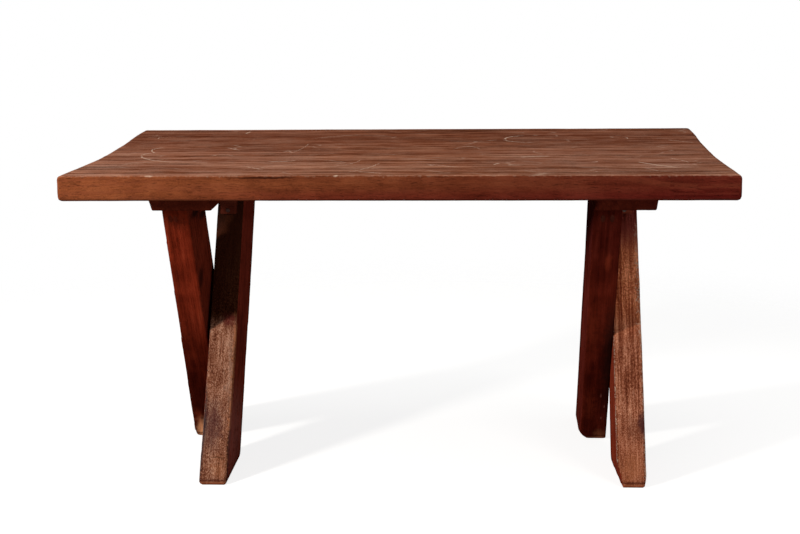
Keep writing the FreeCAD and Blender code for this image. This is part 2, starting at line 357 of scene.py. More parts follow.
# wear that the woods share; clouds: scale, detail, roughness
wearLook = {
    "crumble": (150.0, 5.0, 0.7),  # breaks up a worn arris
    "crumbleMiddle": 0.42,
    "crumbleGain": 5.0,
    "arrisRim": (1.0, 0.4),  # rims fade in between these shares of the reach
    "spotRim": (1.0, 0.2),
    "scratchCore": 1.2,
    "scratchEnds": 4.0,
    "speckleStretch": (260.0, 560.0, 560.0),
    "speckle": (1.0, 3.0, 0.7),
    "speckleFade": (0.32, 0.68),
    "patch": (14.0, 5.0, 0.6),
    "patchFade": (0.36, 0.66),
    "strayStretch": (7.0, 16.0, 16.0),
    "strayLine": (0.03, 0.004),
    "strayPart": (9.0, 3.0),
    "strayFade": (0.5, 0.62),
    "raggedScale": 70,
}


# wear along an arris, and painted shade and highlight there, from how far a point is inside the two faces
# that meet there
def makeArrisMarks():
    group, takes, gives = newGroup("arrisWearAndShade", ["place"], ["first", "second", "reach"], ["mask"])
    inside = [calc("MAXIMUM", takes[name], 0.0) for name in ("first", "second")]
    squares = [calc("POWER", depth, 2.0) for depth in inside]
    away = calc("DIVIDE", calc("SQRT", calc("ADD", *squares)), takes["reach"])
    cloud = cloudOf(takes["place"], *wearLook["crumble"])
    crumble = times(calc("SUBTRACT", cloud, wearLook["crumbleMiddle"]), wearLook["crumbleGain"])
    feed(gives["mask"], fade(calc("ADD", away, crumble), *wearLook["arrisRim"]))
    return group


# a soft round or long spot
def makeSpot():
    group, takes, gives = newGroup("spot", ["place", "middle", "reach"], [], ["mask"])
    offset = vectorCalc("SUBTRACT", takes["place"], takes["middle"])
    away = vectorCalc("LENGTH", vectorCalc("DIVIDE", offset, takes["reach"]))
    feed(gives["mask"], fade(away, *wearLook["spotRim"]))
    return group


# a thin scratch on the level top, bowed by bend at its ends; along is scaled so that it runs from -1 to 1
def makeScratch():
    group, takes, gives = newGroup(
        "scratch", ["place", "middle", "along", "across"], ["bend", "width"], ["mask"])
    offset = vectorCalc("SUBTRACT", takes["place"], takes["middle"])
    run = vectorCalc("DOT_PRODUCT", offset, takes["along"])
    bow = times(run, run, takes["bend"])
    away = calc("SUBTRACT", vectorCalc("DOT_PRODUCT", offset, takes["across"]), bow)
    share = calc("DIVIDE", calc("ABSOLUTE", away), takes["width"])
    line = calc("SUBTRACT", wearLook["scratchCore"], share)
    ends = times(calc("SUBTRACT", 1.0, calc("ABSOLUTE", run)), wearLook["scratchEnds"])
    feed(gives["mask"], calc("MINIMUM", line, ends))
    return group


# fine dry speckle of bruised grain and thin stray scratches, seen where feet and hands have rubbed
def makeScuff():
    group, takes, gives = newGroup("scuff", ["place"], [], ["speckle", "patch", "stray"])
    dashes = vectorCalc("MULTIPLY", takes["place"], wearLook["speckleStretch"])
    for name, place in (("speckle", dashes), ("patch", takes["place"])):
        feed(gives[name], fade(cloudOf(place, *wearLook[name]), *wearLook[name + "Fade"]))
    bent = vectorCalc("MULTIPLY", takes["place"], wearLook["strayStretch"])
    cells = fill(wire("ShaderNodeTexVoronoi", bent, feature="DISTANCE_TO_EDGE"), {"Scale": 1.0})
    line = fade(cells.outputs["Distance"], *wearLook["strayLine"])
    part = fade(cloudOf(takes["place"], *wearLook["strayPart"]), *wearLook["strayFade"])
    feed(gives["stray"], times(line, part))
    return group


grainGroup = makeGrain()
arrisGroup = makeArrisMarks()
spotGroup = makeSpot()
scratchGroup = makeScratch()
scuffGroup = makeScuff()
print("shader groups made")


def newMaterial(name):
    material = bpy.data.materials.new(name)
    material.use_nodes = True
    tree = material.node_tree
    place = addNode(tree, "ShaderNodeTexCoord").outputs["Object"]
    return material, tree.nodes["Principled BSDF"], place


def facing(place):  # the way the surface looks there
    return splitUp(addNode(place.id_data, "ShaderNodeNewGeometry").outputs["Normal"])


def turned(place, shift, turn):  # brings the grain of a leaning piece to X
    return wire("ShaderNodeMapping", place, shift, turn, vector_type="POINT").outputs[0]


def ragged(place, amount):  # shifts a place this way and that, for uneven rims
    noise = fill(wire("ShaderNodeTexNoise", place), {"Scale": wearLook["raggedScale"]})
    drift = vectorCalc("SUBTRACT", noise.outputs["Color"], (0.5, 0.5, 0.5))
    return vectorCalc("ADD", place, vectorCalc("MULTIPLY", drift, (amount, amount, amount)))


def spotOn(place, middle, reach):
    return useGroup(spotGroup, place=place, middle=middle, reach=reach)["mask"]


def woodMasks(grainPlace, wearPlace):  # the masks of the grain and of the wear, by name
    grain = useGroup(grainGroup, place=grainPlace)
    scuff = useGroup(scuffGroup, place=wearPlace)
    return {mask.name: mask for mask in (*grain, *scuff)}


def mixed(masks, shares, start=0.0):  # a weighted sum of masks
    for name, share in shares.items():
        start = calc("ADD", start, times(masks[name], share))
    return start


def bumpOf(height, distance):
    node = addNode(height.id_data, "ShaderNodeBump")
    return fill(node, {"Distance": distance, "Height": height}).outputs[0]


def finishWood(shader, masks, colour, look):  # matte, with the grain raised a little
    fill(shader, {
        "Base Color": colour,
        "Roughness": mixed(masks, look["rougher"], look["roughness"]),
        "Specular IOR Level": 0,
        "Normal": bumpOf(mixed(masks, look["raised"]), grainLook["relief"]),
    })


# top: a dull rubbed upper face, reddish varnish on the edges, pale scratches
topLook = {
    "face": ((0.09, 0.026, 0.012), (0.19, 0.066, 0.034), (0.275, 0.107, 0.061), (0.36, 0.155, 0.095),
             (0.48, 0.24, 0.16)),
    "red": (0.17, 0.045, 0.022),
    # the front edge at its left and right ends: the right darker and redder, a redder varnish with painted
    # shade of the light falling off
    "edgeLeft": ((0.096, 0.024, 0.009), (0.202, 0.057, 0.021), (0.276, 0.09, 0.036)),
    "edgeRight": ((0.038, 0.0045, 0.003), (0.083, 0.0125, 0.0075), (0.124, 0.025, 0.015)),
    "nearTone": (1.16, 1.16, 1.16),
    "farTone": (0.98, 0.84, 0.77),
    "dust": (0.38, 0.26, 0.205),
    # bruiseAndHighlight: pale bruises, and a painted highlight along the upper front arris
    "scratch": (0.76, 0.54, 0.41),
    "bruiseAndHighlight": (0.56, 0.38, 0.28),
    # grime: dirt in the pores, and painted shade in the crack and along the lower arris
    "grime": (0.03, 0.007, 0.004),
    "edgeHigh": (1.04, 1.0, 1.0),
    "edgeLow": (0.8, 0.52, 0.66),
    # middleTone: the middle of the top darker, painted shade
    "middleTone": (0.9, 0.84, 0.78),
    "lineTone": (0.6, 0.52, 0.48),
    "boardWidth": 0.18,
    "boardShift": (1.37, 0.71, 0.43),  # from the grain of one board to the next
    "edge": (0.45, 0.77, 0.713),  # front, crown and underside, from the middle and the floor
    "lookingUp": (0.35, 0.85),  # the turn from edge to upper face
    "faceWave": {"band": 0.34, "fleck": 0.28, "streak": 0.26, "speckle": 0.12},
    "faceFade": (0.15, 0.85),
    "edgeWave": {"band": 0.25, "fleck": 0.2, "speckle": 0.3, "patch": 0.25},
    "leftToRight": (-0.63, 0.8),  # where the edge darkens: a redder varnish, with painted shade of the light falling off
    "lowEdge": ((0.038, 0.006), (-0.6, -0.1)),  # its darker part: above the underside, along the top
    "nearToFar": (-0.45, 0.45),
    "middlePart": (0.42, 0.08),
    "lines": ((0.5, 0.25), (-0.15, 0.35)),  # dark lines: in the streaks, towards the back
    "amounts": {
        "figure": 0.35, "ring": 0.25, "rub": 0.3, "patch": 0.5, "line": 0.7, "pore": 0.5,
        "upperArris": 0.15, "lowerArris": 0.65, "split": 0.9, "stray": 0.35, "scratch": 0.9,
    },
    # the pale line along the upper front arris: wear with a painted highlight
    "upperArris": 0.005,
    "lowerArris": ((0.007, 0.002), (0.012, 0.004)),  # a dark line of painted shade where the edge turns under: above the underside, in from the front
    "rims": (0.06, 0.008),  # how ragged the patches and the small marks are
    "patchHeight": 0.05,
    "chipReach": (0.007, 0.004),
    "broken": ((170.0, 3.0), (0.26, 0.5)),  # the cloud that breaks up the scratches
    "roughness": 0.66,
    "rougher": {"patch": 0.18, "scratch": 0.1},
    "raised": {"streak": 1.0, "pore": -1.0, "scratch": -1.0},
    "patches": (  # rubbed places: middle and reach
        ((-0.68, -0.3), (0.1, 0.08)),
        ((-0.255, -0.16), (0.09, 0.07)),
        ((-0.09, -0.33), (0.11, 0.08)),
        ((0.3, -0.14), (0.09, 0.04)),
        ((0.3, 0.215), (0.08, 0.08)),
        ((0.61, -0.31), (0.1, 0.07)),
    ),
    "chips": ((-0.545, 0.014), (-0.131, 0.008)),  # bruised places along the front arris, half their length
    "split": ((-0.29, -0.45, 0.765), (0.11, 0.02, 0.0042)),  # a crack in the front edge, drawn as a dark line with its shade painted: middle and reach
    "scratches": (  # start, middle, end, half width
        ((-0.615, 0.06), (-0.635, 0.0), (-0.61, -0.06), 0.0017),
        ((-0.64, -0.11), (-0.6, -0.18), (-0.54, -0.22), 0.0024),
        ((-0.64, -0.11), (-0.635, -0.07), (-0.61, -0.05), 0.0018),
        ((-0.455, 0.35), (-0.452, 0.375), (-0.448, 0.4), 0.0024),
        ((-0.68, 0.22), (-0.67, 0.265), (-0.65, 0.25), 0.0018),
        ((-0.45, 0.04), (-0.435, 0.02), (-0.41, -0.01), 0.0018),
        ((-0.46, -0.12), (-0.44, -0.09), (-0.4, -0.12), 0.0018),
        ((-0.35, -0.31), (-0.33, -0.33), (-0.31, -0.35), 0.0018),
        ((-0.31, -0.22), (-0.28, -0.218), (-0.245, -0.2), 0.003),
        ((-0.28, -0.07), (-0.262, 0.03), (-0.256, 0.13), 0.0006),
        ((-0.265, 0.23), (-0.2, 0.285), (-0.13, 0.32), 0.0016),
        ((-0.165, -0.3), (-0.12, -0.27), (-0.08, -0.16), 0.0009),
        ((-0.105, -0.39), (-0.07, -0.33), (-0.045, -0.24), 0.0012),
        ((-0.09, -0.39), (-0.06, -0.405), (-0.03, -0.42), 0.0024),
        ((0.115, -0.01), (0.15, 0.06), (0.185, -0.01), 0.0018),
        ((0.07, -0.28), (0.1, -0.3), (0.14, -0.33), 0.0018),
        ((0.215, -0.285), (0.22, -0.272), (0.228, -0.26), 0.003),
        ((0.245, 0.19), (0.255, 0.25), (0.295, 0.28), 0.0027),
        ((0.245, 0.19), (0.27, 0.15), (0.325, 0.13), 0.0027),
        ((0.275, -0.155), (0.31, -0.14), (0.345, -0.135), 0.0036),
        ((0.44, -0.24), (0.448, -0.238), (0.455, -0.23), 0.003),
        ((0.556, 0.235), (0.562, 0.222), (0.56, 0.208), 0.0018),
        ((0.555, -0.25), (0.58, -0.29), (0.635, -0.35), 0.0036),
        ((0.625, -0.18), (0.645, -0.21), (0.665, -0.26), 0.0015),
        ((0.66, 0.18), (0.69, 0.15), (0.72, 0.12), 0.0018),
    ),
}


def makeTopWood():
    material, shader, place = newMaterial("topWood")
    along, across, height = splitUp(place)
    amounts, width = topLook["amounts"], topLook["boardWidth"]
    depth, crown, underside = topLook["edge"]
    number = calc("FLOOR", calc("DIVIDE", calc("ADD", across, width / 2), width))
    shift = joinUp(*(times(number, step) for step in topLook["boardShift"]))
    masks = woodMasks(vectorCalc("ADD", place, shift), place)
    upper = fade(facing(place)[2], *topLook["lookingUp"])
    inside = calc("SUBTRACT", depth, calc("ABSOLUTE", across))
    rise = calc("SUBTRACT", height, underside)
    loose, close = (ragged(place, amount) for amount in topLook["rims"])

    wave = mixed(masks, topLook["edgeWave"])
    left, right = (ramp(wave, *topLook[name]) for name in ("edgeLeft", "edgeRight"))
    # darker towards the right: painted shade of the light falling off, with a redder varnish
    edge = tint(fade(along, *topLook["leftToRight"]), left, right)
    edge = tint(times(masks["ring"], amounts["ring"]), edge, topLook["red"])
    low = overlap((rise, along), topLook["lowEdge"])
    edge = toned(edge, tint(low, topLook["edgeHigh"], topLook["edgeLow"]))

    wave = fade(mixed(masks, topLook["faceWave"]), *topLook["faceFade"])
    face = ramp(wave, *topLook["face"])
    face = tint(times(masks["figure"], amounts["figure"]), face, topLook["red"])
    rubbed = times(masks["patch"], masks["speckle"], amounts["rub"])
    for middle, reach in topLook["patches"]:
        patch = spotOn(loose, (*middle, crown), (*reach, topLook["patchHeight"]))
        rubbed = calc("MAXIMUM", rubbed, times(patch, masks["speckle"], amounts["patch"]))
    face = tint(rubbed, face, topLook["dust"])
    tone = tint(fade(across, *topLook["nearToFar"]), topLook["nearTone"], topLook["farTone"])
    face = toned(face, tone)
    # the middle of the top darker: painted shade
    middlePart = fade(calc("ABSOLUTE", along), *topLook["middlePart"])
    face = toned(face, topLook["middleTone"], middlePart)
    lines = overlap((masks["streak"], across), topLook["lines"])
    face = toned(face, topLook["lineTone"], times(lines, amounts["line"]))

    colour = tint(upper, edge, face)
    colour = tint(times(masks["pore"], amounts["pore"]), colour, topLook["grime"])
    # a pale line along the upper front arris, wear with a painted highlight, then bruised chips
    below = calc("SUBTRACT", crown, height)
    reach = topLook["upperArris"]
    arris = useGroup(arrisGroup, place=place, first=inside, second=below, reach=reach)["mask"]
    chips = times(arris, amounts["upperArris"])
    for spot, half in topLook["chips"]:
        chip = spotOn(close, (spot, -depth, crown), (half, *topLook["chipReach"]))
        chips = calc("MAXIMUM", chips, chip)
    colour = tint(chips, colour, topLook["bruiseAndHighlight"])
    # the crack in the front edge: a dark line of painted shade
    split = times(spotOn(close, *topLook["split"]), amounts["split"])
    colour = tint(split, colour, topLook["grime"])
    # painted shade along the lower arris of the front edge
    lower = overlap((rise, inside), topLook["lowerArris"])
    colour = tint(times(lower, amounts["lowerArris"]), colour, topLook["grime"])

    scratched = times(masks["stray"], amounts["stray"])
    for *points, halfWidth in topLook["scratches"]:
        start, middle, end = (Vector(point) for point in points)
        run = (end - start) / 2
        aside = Vector((-run.y, run.x)).normalized()
        mark = useGroup(scratchGroup, place=close, middle=(*middle, 0),
                        along=(*run / run.length_squared, 0), across=(*aside, 0),
                        bend=aside.dot(start + run - middle), width=halfWidth)["mask"]
        scratched = calc("MAXIMUM", scratched, mark)
    cloud, limits = topLook["broken"]
    broken = fade(cloudOf(place, *cloud), *limits)
    masks["scratch"] = times(calc("MINIMUM", scratched, 1.0), broken, upper)
    colour = tint(times(masks["scratch"], amounts["scratch"]), colour, topLook["scratch"])
    finishWood(shader, masks, colour, topLook)
    return material


# legs: deep red varnish, worn and dusty where a face looks up
legLook = {
    "varnish": ((0.045, 0.004, 0.002), (0.13, 0.014, 0.005), (0.23, 0.027, 0.01), (0.33, 0.05, 0.02)),
    "worn": ((0.055, 0.014, 0.007), (0.135, 0.043, 0.023), (0.22, 0.086, 0.05), (0.36, 0.175, 0.115),
             (0.5, 0.3, 0.21)),
    "deep": (0.05, 0.006, 0.003),
    # dim: painted shade on the side of a leg, along its arris
    "dim": (0.06, 0.011, 0.007),
    # umber: painted shadow on the upper worn face of a back leg
    "umber": (0.066, 0.018, 0.0085),
    "wine": (0.1, 0.014, 0.014),
    # rust: painted shade, reddish, at the soft rim of a shadow
    "rust": (0.2, 0.038, 0.028),
    "red": (0.3, 0.045, 0.018),
    "orange": (0.48, 0.18, 0.08),
    "bare": (0.52, 0.36, 0.27),
    "raw": (0.8, 0.35, 0.17),
    # grime: dark dirt, and painted shade under the batten and between the legs
    "grime": (0.012, 0.005, 0.004),
    "plum": (0.05, 0.014, 0.018),
    "pink": (0.3, 0.1, 0.08),
    "slate": (0.018, 0.016, 0.022),
    "lookingUp": (0.15, 0.42),  # the turns from varnish to worn face, and to the sides
    "lookingAside": (0.5, 0.85),
    "varnishWave": {"band": 0.16, "ring": 0.1, "fleck": 0.18, "streak": 0.22, "figure": 0.12, "patch": 0.22},
    "wornWave": {"band": 0.09, "ring": 0.06, "fleck": 0.14, "patch": 0.09},
    "wornRest": 0.62,  # shared by fibre and speckle
    "wornFade": (0.1, 0.9),
    "arrisEnds": 0.01,
    "bareSpeckle": (0.4, 0.6),
    "rims": (0.008, 0.02, 0.05),
    "toe": (0.01, 0.016, 0.004),  # worn end of the foot, the dark line above it, and how soft they are
    "amounts": {"pore": 0.5, "toe": 0.3, "toeLine": 0.7},
    "roughness": 0.62,
    "rougher": {"patch": 0.12, "upper": 0.2},
    "raised": {"streak": 1.0, "speckle": 1.0, "pore": -1.0},
}
# varnish, worn, side: tones of these faces, the lighter side tone being painted light on the sides;
# paintedShading: painted light and shade, heights between which the tone changes, and the tone;
# fibre: how much of the grain shows; arrises: colour, strength, side (0 is both), heights, reach;
# spots: middle, reach, colour, strength, ragged rim
legMarks = {
    "leg_left_front": {
        "varnish": (0.85, 0.85, 0.9), "worn": (1.0, 1.0, 1.0), "side": (1.2, 1.5, 1.8),
        # painted shade: the front darker towards the foot, and the side darker along its arris
        "paintedShading": ((0.5, 0.12, (0.3, 0.3, 0.36)),), "fibre": 0.3,
        "arrises": (("dim", 0.6, 1, 0.3, 0.7, 0.02), ("orange", 0.35, 0, 0.0, 0.7, 0.004)),
        # the two upper side spots: painted shadow under the batten
        "sideSpots": (
            ((-0.49, -0.157, 0.48), (0.03, 0.045, 0.042), "grime", 0.75, 0.02),
            ((-0.49, -0.215, 0.648), (0.03, 0.08, 0.018), "grime", 0.85, 0.02),
            ((-0.49, -0.12, 0.63), (0.03, 0.08, 0.018), "grime", 0.85, 0.02),
        ),
        "spots": (
            ((-0.552, 0.06, 0.06), (0.014, 0.05, 0.06), "red", 0.4, 0.02),
            ((-0.546, 0.085, 0.0), (0.024, 0.14, 0.08), "raw", 1.0, 0.02),
            ((-0.515, -0.27, 0.64), (0.03, 0.04, 0.03), "deep", 0.8, 0.02),
        ),
    },
    "leg_left_back": {
        "varnish": (0.7, 0.68, 0.74), "worn": (1.02, 1.0, 0.97), "side": (1.5, 1.9, 2.6),
        # painted shadow of the front leg and the top: the worn face dark above the crossing
        "paintedShading": ((0.335, 0.375, (0.24, 0.16, 0.11)),), "fibre": 0.16,
        "arrises": (("slate", 0.9, -1, 0.0, 0.34, 0.006), ("orange", 0.6, 1, 0.12, 0.34, 0.008),
                    ("grime", 0.85, 1, 0.0, 0.11, 0.009), ("bare", 0.7, -1, 0.1, 0.22, 0.005)),
        # painted light on the lower side, standing in for light from the floor
        "sideSpots": (((-0.423, -0.19, 0.1), (0.015, 0.25, 0.16), "pink", 0.55, 0.05),),
        "spots": (
            ((-0.449, -0.254, 0.058), (0.02, 0.05, 0.002), "grime", 1.0, 0.008),
            ((-0.466, -0.215, 0.125), (0.036, 0.1, 0.09), "plum", 0.7, 0.05),
            ((-0.44, -0.262, 0.03), (0.036, 0.06, 0.045), "orange", 0.25, 0.05),
            ((-0.49, -0.2, 0.12), (0.016, 0.14, 0.13), "slate", 0.6, 0.02),
            ((-0.492, -0.19, 0.11), (0.013, 0.22, 0.2), "slate", 0.95, 0.008),
            # painted shadow over the upper worn face, and painted shade on a lit patch at its top
            ((-0.458, 0.04, 0.575), (0.12, 0.4, 0.2), "umber", 0.85, 0.02),
            ((-0.49, 0.05, 0.59), (0.042, 0.1, 0.07), "grime", 0.75, 0.02),
            ((-0.442, -0.083, 0.356), (0.026, 0.05, 0.022), "wine", 0.6, 0.02),
            ((-0.43, -0.15, 0.24), (0.012, 0.1, 0.14), "bare", 0.18, 0.05),
        ),
    },
    "leg_right_front": {
        # painted shade: the front darker than on the other legs, and darker towards the top
        "varnish": (0.45, 0.45, 0.62), "worn": (1.0, 1.0, 1.0), "side": (1.2, 1.4, 1.8),
        "paintedShading": ((0.42, 0.6, (0.6, 0.6, 0.7)),), "fibre": 0.3,
        "arrises": (("red", 0.35, 0, 0.0, 0.7, 0.004),),
        "sideSpots": (),
        "spots": (
            ((0.496, 0.085, 0.004), (0.02, 0.03, 0.014), "orange", 0.5, 0.02),
            ((0.488, 0.003, 0.141), (0.003, 0.02, 0.008), "pink", 0.8, 0.008),
            ((0.498, 0.023, 0.106), (0.003, 0.02, 0.006), "pink", 0.7, 0.008),
            ((0.492, 0.044, 0.07), (0.003, 0.02, 0.006), "pink", 0.6, 0.008),
            ((0.484, -0.222, 0.531), (0.012, 0.06, 0.035), "red", 0.22, 0.02),
            ((0.462, 0.01, 0.11), (0.02, 0.09, 0.07), "red", 0.16, 0.05),
            ((0.455, -0.12, 0.34), (0.022, 0.12, 0.11), "red", 0.1, 0.05),
            # painted shade along the side next to the back leg
            ((0.508, -0.07, 0.3), (0.052, 0.3, 0.3), "deep", 0.75, 0.05),
            ((0.508, -0.06, 0.25), (0.034, 0.3, 0.26), "grime", 0.8, 0.02),
            ((0.49, 0.078, 0.012), (0.024, 0.05, 0.03), "orange", 0.25, 0.02),
        ),
    },
    "leg_right_back": {
        "varnish": (0.95, 0.95, 0.95), "worn": (1.22, 0.99, 0.88), "side": (1.2, 1.5, 1.9),
        # painted light above the crossing, painted shadow of the batten at the top; a little darker and less
        # pink towards the foot
        "paintedShading": ((0.3, 0.4, (1.6, 1.35, 1.1)), (0.51, 0.575, (0.25, 0.15, 0.24)),
                   (0.18, 0.06, (0.95, 0.88, 0.84))), "fibre": 0.26,
        "arrises": (("deep", 0.7, 0, 0.0, 0.5, 0.004), ("bare", 0.9, 0, 0.0, 0.5, 0.004),
                    ("bare", 1.0, 1, 0.33, 0.57, 0.014)),
        "sideSpots": (),
        "spots": (
            ((0.572, -0.212, 0.13), (0.015, 0.06, 0.042), "plum", 0.9, 0.02),
            ((0.545, -0.262, 0.04), (0.045, 0.08, 0.06), "orange", 0.3, 0.05),
            # painted shade at the lower rim of the batten's shadow
            ((0.545, 0.03, 0.552), (0.08, 0.1, 0.055), "rust", 0.6, 0.02),
            ((0.555, -0.215, 0.122), (0.05, 0.06, 0.04), "deep", 0.35, 0.05),
        ),
    },
}


def makeLegWood(name, way, low, high):
    material, shader, place = newMaterial(name)
    marks, amounts = legMarks[name], legLook["amounts"]
    height = splitUp(place)[2]
    level = turned(place, -(low + high) / 2, (0, 0, 0))
    thick, wide, along = splitUp(turned(level, (0, 0, 0), (-way * leg["lean"], 0, 0)))
    own = joinUp(along, wide, thick)
    masks = woodMasks(own, own)
    looks = facing(place)
    masks["upper"] = fade(looks[2], *legLook["lookingUp"])
    aside = fade(calc("ABSOLUTE", looks[0]), *legLook["lookingAside"])
    inside = calc("SUBTRACT", leg["width"] / 2, calc("ABSOLUTE", wide))

    varnish = toned(ramp(mixed(masks, legLook["varnishWave"]), *legLook["varnish"]), marks["varnish"])
    fibre = marks["fibre"]
    shares = {**legLook["wornWave"], "streak": fibre, "speckle": legLook["wornRest"] - fibre}
    worn = ramp(fade(mixed(masks, shares), *legLook["wornFade"]), *legLook["worn"])
    worn = toned(worn, marks["worn"])
    # paintedShading: painted light and shade by height, on the varnished front or the worn face
    for start, end, tone in marks["paintedShading"]:
        shade = fade(height, start, end)
        if way > 0:
            varnish = toned(varnish, tone, shade)
        else:
            worn = toned(worn, tone, shade)
    # the sides lighter than the front: painted light
    varnish = toned(varnish, marks["side"], aside)
    colour = tint(masks["upper"], varnish, worn)
    colour = tint(times(masks["pore"], amounts["pore"]), colour, legLook["deep"])

    soft = legLook["arrisEnds"]
    for kind, strength, edge, start, end, reach in marks["arrises"]:
        out = times(thick, edge) if edge else calc("ABSOLUTE", thick)
        left = calc("SUBTRACT", (high.x - low.x) / 2, out)
        arris = useGroup(arrisGroup, place=place, first=left, second=inside, reach=reach)["mask"]
        parts = [fade(height, start - soft, start), fade(height, end + soft, end)]
        if kind == "bare":
            parts.append(fade(masks["speckle"], *legLook["bareSpeckle"]))
        # the painted shade falls on the side faces only
        if kind == "dim":
            parts.append(aside)
        colour = tint(times(arris, *parts, strength), colour, legLook[kind])
    rims = {rim: ragged(place, rim) for rim in legLook["rims"]}
    ahead = calc("SUBTRACT", 1.0, aside)
    for part, marked in ((ahead, "spots"), (aside, "sideSpots")):
        for middle, reach, kind, strength, rim in marks[marked]:
            mask = times(spotOn(rims[rim], middle, reach), part, strength)
            colour = tint(mask, colour, legLook[kind])
    end, line, soft = legLook["toe"]
    toe = fade(height, end, end - soft)
    colour = tint(times(toe, amounts["toe"]), colour, legLook["orange"])
    above = times(fade(height, line, end), fade(height, end - soft, end))
    colour = tint(times(above, amounts["toeLine"]), colour, legLook["deep"])
    finishWood(shader, masks, colour, legLook)
    return material


# plain stained wood for battens, blocks, plugs and what is held inside
stainLook = {
    "woods": {  # dark, pale, which axes the grain takes, roughness
        # the left batten lighter than the right: painted light, the same stain in more light
        "leftBattenWood": ((0.056, 0.008, 0.004), (0.14, 0.023, 0.011), (1, 0, 2), 0.65),
        "rightBattenWood": ((0.038, 0.005, 0.003), (0.092, 0.014, 0.007), (1, 0, 2), 0.65),
        "blockWood": ((0.11, 0.02, 0.011), (0.2, 0.045, 0.026), (0, 1, 2), 0.65),
        "leftPlugWood": ((0.06, 0.009, 0.005), (0.13, 0.02, 0.01), (2, 0, 1), 0.65),
        "rightPlugWood": ((0.034, 0.007, 0.005), (0.066, 0.016, 0.01), (2, 0, 1), 0.65),
        "innerWood": ((0.33, 0.2, 0.11), (0.5, 0.33, 0.19), (0, 1, 2), 0.6),
    },
    "wave": {"band": 0.4, "fleck": 0.35, "streak": 0.25},
    "figure": 0.4,
    "pore": 0.5,
    "poreTone": 0.5,
    "rougher": {"patch": 0.15},
    "raised": {"streak": 1.0, "pore": -1.0},
}


def makeStainedWood(name, dark, pale, axes, roughness):
    material, shader, place = newMaterial(name)
    spots = splitUp(place)
    own = joinUp(*(spots[axis] for axis in axes))
    masks = woodMasks(own, own)
    colour = tint(mixed(masks, stainLook["wave"]), dark, pale)
    colour = tint(times(masks["figure"], stainLook["figure"]), colour, dark)
    deep = [part * stainLook["poreTone"] for part in dark]
    colour = tint(times(masks["pore"], stainLook["pore"]), colour, deep)
    finishWood(shader, masks, colour, {**stainLook, "roughness": roughness})
    return material


# screws: stained over at the left, bare at the right
steelLook = {
    "left": ("stainedSteel", (0.075, 0.02, 0.012), (0.04, 0.01, 0.006)),
    "right": ("bareSteel", (0.09, 0.065, 0.05), (0.025, 0.011, 0.007)),
    "tarnish": (260.0, 5.0),
    "tarnishFade": (0.35, 0.6),
    "tarnished": {"Roughness": (0.45, 0.35), "Metallic": (0.5, -0.45)},  # when clean, and the change
    "pitting": (900.0, 3.0),
    "pitDepth": 0.0001,
}


def makeScrewSteel(name, bright, dull):
    material, shader, place = newMaterial(name)
    tarnish = fade(cloudOf(place, *steelLook["tarnish"]), *steelLook["tarnishFade"])
    feed(shader.inputs["Base Color"], tint(tarnish, bright, dull))
    for socket, (clean, change) in steelLook["tarnished"].items():
        feed(shader.inputs[socket], calc("ADD", clean, times(tarnish, change)))
    feed(shader.inputs["Normal"], bumpOf(cloudOf(place, *steelLook["pitting"]), steelLook["pitDepth"]))
    return material


topWood = makeTopWood()
woods = {name: makeStainedWood(name, *look) for name, look in stainLook["woods"].items()}
screwSteel = {side: makeScrewSteel(*steelLook[side]) for side in sides}
print("materials made")

# the plank top: one scooped slab, sawn into its boards
top = {
    "boards": 5,
    "leftEnd": 0.7565,  # from the middle
    "rightEnd": 0.753,
    "leftScoop": ((-0.1, 0.47, 0.0225), (0.2, 0.25, 0.005)),  # where it is deepest, its reach and depth
    "rightScoop": ((-0.1, 0.47, 0.0135), (0.2, 0.25, 0.0035)),
    "endRadius": 0.011,
    "endSteps": 5,
    "cornerShare": 0.7,  # of the end radius
    "arrisShare": 0.36,
    "arris": 0.004,
    "chipReach": 1.5,  # of the arris
    "seam": 0.0005,
    "cutSpacing": 0.05,
    "fineness": 3,
    "waviness": (0.0012, (0.4, 0.09, 0.09)),  # depth, and the size of its cloud
    "roughness": (0.0006, (0.05, 0.012, 0.012)),
    "chips": (0.0008, (0.06, 0.02, 0.02)),
    "chipLevel": 0.75,  # of the cloud, above which nothing is chipped away
}


